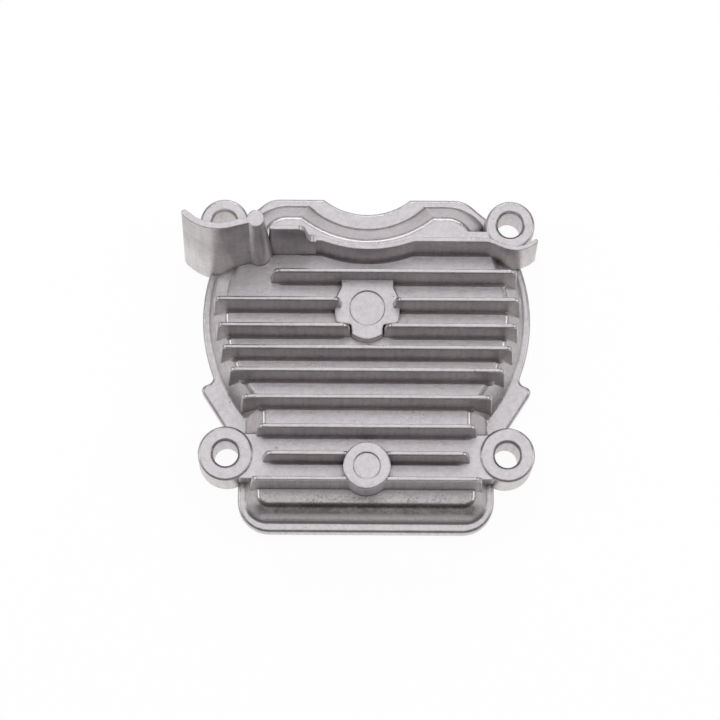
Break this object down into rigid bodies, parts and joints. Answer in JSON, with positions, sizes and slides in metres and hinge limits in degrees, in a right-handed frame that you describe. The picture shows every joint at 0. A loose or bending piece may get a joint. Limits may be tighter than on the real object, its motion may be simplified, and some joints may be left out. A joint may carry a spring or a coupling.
{
  "type": "crankcase cover",
  "caption": "Die-cast aluminium crankcase cover: a shallow pan with parallel cooling fins, corner bolt lugs, a curved guide wall, a notched edge and a tall curled guide.",
  "frame": {"origin": "midway between the two lower bolt holes, on the mating face", "axes": "+Z away from the mating face, on the side of the fins; +X along the fins; +Y towards the notched edge and the guide walls"},
  "size_m": [0.0793, 0.0762, 0.043],
  "materials": {
    "cast_aluminium": "satin as-cast skin with darker steep sides"
  },
  "bodies": {
    "root": {"crankcase_cover": "cast_aluminium"}
  },
  "joints": []
}
